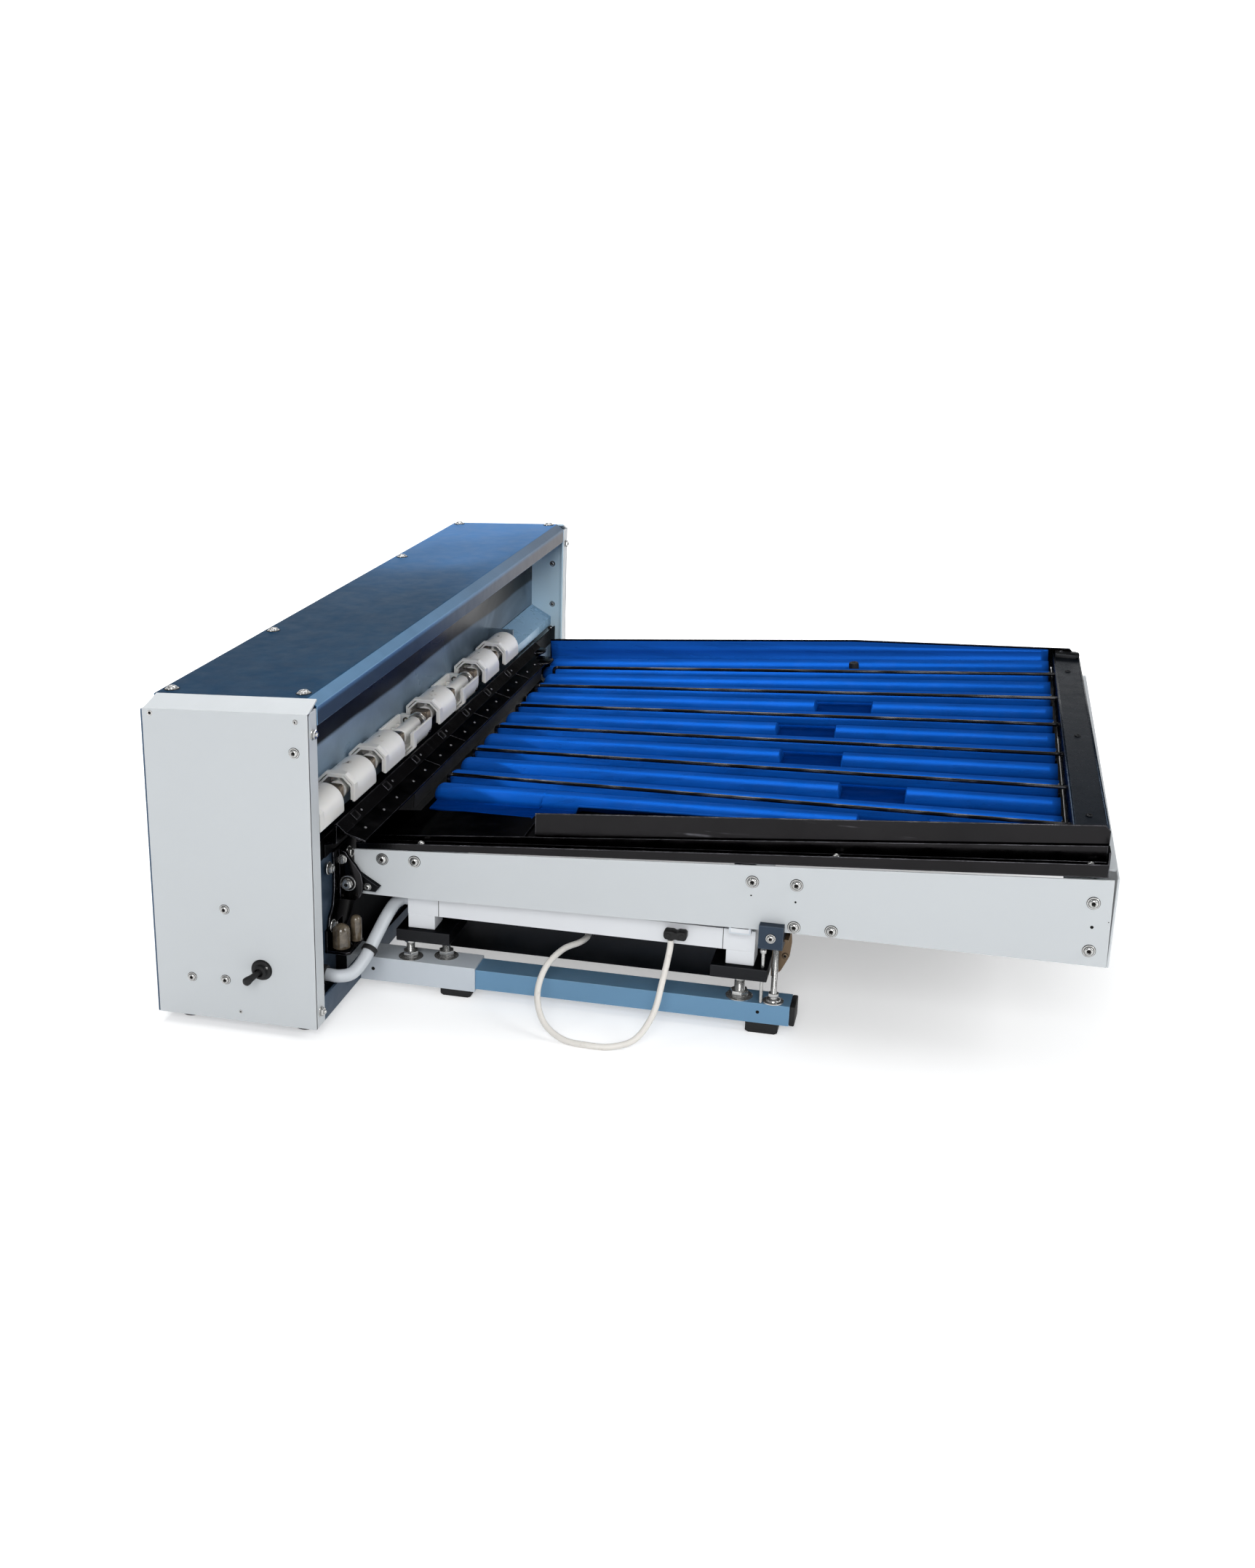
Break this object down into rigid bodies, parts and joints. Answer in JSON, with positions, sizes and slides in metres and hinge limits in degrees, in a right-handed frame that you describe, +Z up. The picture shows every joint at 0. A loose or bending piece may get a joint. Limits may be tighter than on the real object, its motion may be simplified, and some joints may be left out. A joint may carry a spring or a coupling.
{
  "type": "egg grading machine",
  "caption": "Tabletop egg grader: a housing with a row of tipping cradles drops each egg over a slide into wire-divided lanes on a gently rising table.",
  "frame": {"origin": "middle of the machine's footprint on the bench, between its outermost faces in X and Y", "axes": "+X from the housing to the table's outer end, +Y along the row of cradles away from the switch end, +Z up"},
  "size_m": [0.831, 0.9442, 0.3132],
  "materials": {
    "sheet_light": "satin light grey powder coat",
    "sheet_blue": "satin steel blue",
    "sheet_dark": "satin slate",
    "guide_steel": "brushed",
    "bright_steel": "bright zinc",
    "rubber_black": "matte",
    "shell_white": "semi gloss, scuffed",
    "black_metal": "gloss black",
    "dark_metal": "satin",
    "mat_blue": "satin moulded sheet",
    "wire_dark": "polished, dark",
    "cable_white": "satin",
    "conduit_grey": "satin",
    "bumper_grey": "translucent",
    "rail_grey": "anodised",
    "beam_blue": "satin",
    "black_plastic": "satin",
    "board_green": "gloss"
  },
  "bodies": {
    "machine_frame": {"near_end_plate": "sheet_light", "far_end_plate": "sheet_light", "top_cover": "sheet_blue", "back_panel": "sheet_dark", "base_pan": "sheet_dark", "lower_front_panel": "sheet_dark", "inner_guide_wall": "guide_steel", "infeed_chute": "guide_steel", "housing_screws": "bright_steel", "rubber_feet": "rubber_black", "carrier_shaft": "bright_steel", "shaft_bulkhead": "sheet_dark", "actuator_blocks": "dark_metal", "drop_slide": "black_metal", "slide_screws": "bright_steel", "hinge_brackets": "black_metal", "pivot_pins": "bright_steel", "bumper_pins": "bumper_grey", "supply_conduit": "conduit_grey", "conduit_gland": "black_plastic", "switch_body": "black_plastic", "power_supply": "rail_grey", "control_board": "board_green", "beam_sleeves": "sheet_light", "beam_tubes": "beam_blue", "beam_rubbers": "rubber_black", "adjuster_bolts": "bright_steel", "mount_blocks": "dark_metal", "rail_spacers": "rail_grey", "sensor_rails": "rail_grey", "cross_bars": "black_metal", "cable_glands": "black_plastic", "signal_cable": "cable_white"},
    "lane_table": {"near_side_plate": "sheet_light", "far_side_plate": "sheet_light", "end_plate": "sheet_light", "table_floor": "rail_grey", "cross_members": "rail_grey", "lane_mats": "mat_blue", "wire_dividers": "wire_dark", "inner_fence": "black_metal", "front_tray": "black_metal", "end_kerb": "black_metal", "far_fence": "black_metal", "landing_tray": "black_metal", "table_screws": "bright_steel", "pivot_lugs": "dark_metal", "clamp_blocks": "dark_metal", "stop_peg": "black_plastic"},
    "cradle_1": {"cradle_1": "shell_white"},
    "cradle_2": {"cradle_2": "shell_white"},
    "cradle_3": {"cradle_3": "shell_white"},
    "cradle_4": {"cradle_4": "shell_white"},
    "cradle_5": {"cradle_5": "shell_white"},
    "cradle_6": {"cradle_6": "shell_white"},
    "cradle_7": {"cradle_7": "shell_white"},
    "cradle_8": {"cradle_8": "shell_white"},
    "switch_lever": {"switch_lever": "bright_steel"},
    "near_levelling_rod": {"near_levelling_rod": "bright_steel"},
    "far_levelling_rod": {"far_levelling_rod": "bright_steel"}
  },
  "joints": [
    {"name": "table_tilt", "type": "hinge", "parent": "machine_frame", "child": "lane_table", "pos_m": [-0.2665, 0.0002, 0.115], "axis": [0, 1, 0], "range_deg": [-3.5, 0]},
    {"name": "cradle_1_tip", "type": "hinge", "parent": "machine_frame", "child": "cradle_1", "pos_m": [-0.2885, -0.3813, 0.192], "axis": [0, 1, 0], "range_deg": [-180, 0]},
    {"name": "cradle_2_tip", "type": "hinge", "parent": "machine_frame", "child": "cradle_2", "pos_m": [-0.2885, -0.2953, 0.192], "axis": [0, 1, 0], "range_deg": [-180, 0]},
    {"name": "cradle_3_tip", "type": "hinge", "parent": "machine_frame", "child": "cradle_3", "pos_m": [-0.2885, -0.2093, 0.192], "axis": [0, 1, 0], "range_deg": [-180, 0]},
    {"name": "cradle_4_tip", "type": "hinge", "parent": "machine_frame", "child": "cradle_4", "pos_m": [-0.2885, -0.1233, 0.192], "axis": [0, 1, 0], "range_deg": [0, 180]},
    {"name": "cradle_5_tip", "type": "hinge", "parent": "machine_frame", "child": "cradle_5", "pos_m": [-0.2885, -0.0373, 0.192], "axis": [0, 1, 0], "range_deg": [-180, 0]},
    {"name": "cradle_6_tip", "type": "hinge", "parent": "machine_frame", "child": "cradle_6", "pos_m": [-0.2885, 0.0487, 0.192], "axis": [0, 1, 0], "range_deg": [0, 180]},
    {"name": "cradle_7_tip", "type": "hinge", "parent": "machine_frame", "child": "cradle_7", "pos_m": [-0.2885, 0.1347, 0.192], "axis": [0, 1, 0], "range_deg": [-180, 0]},
    {"name": "cradle_8_tip", "type": "hinge", "parent": "machine_frame", "child": "cradle_8", "pos_m": [-0.2885, 0.2207, 0.192], "axis": [0, 1, 0], "range_deg": [-180, 0]},
    {"name": "switch_flip", "type": "hinge", "parent": "machine_frame", "child": "switch_lever", "pos_m": [-0.3135, -0.4513, 0.063], "axis": [1, 0, 0], "range_deg": [-24, 0]},
    {"name": "near_levelling_turn", "type": "hinge", "parent": "lane_table", "child": "near_levelling_rod", "pos_m": [0.1285, -0.3253, 0.06], "axis": [0, 0, 1], "continuous": true},
    {"name": "far_levelling_turn", "type": "hinge", "parent": "lane_table", "child": "far_levelling_rod", "pos_m": [0.1285, 0.3257, 0.06], "axis": [0, 0, 1], "continuous": true}
  ]
}
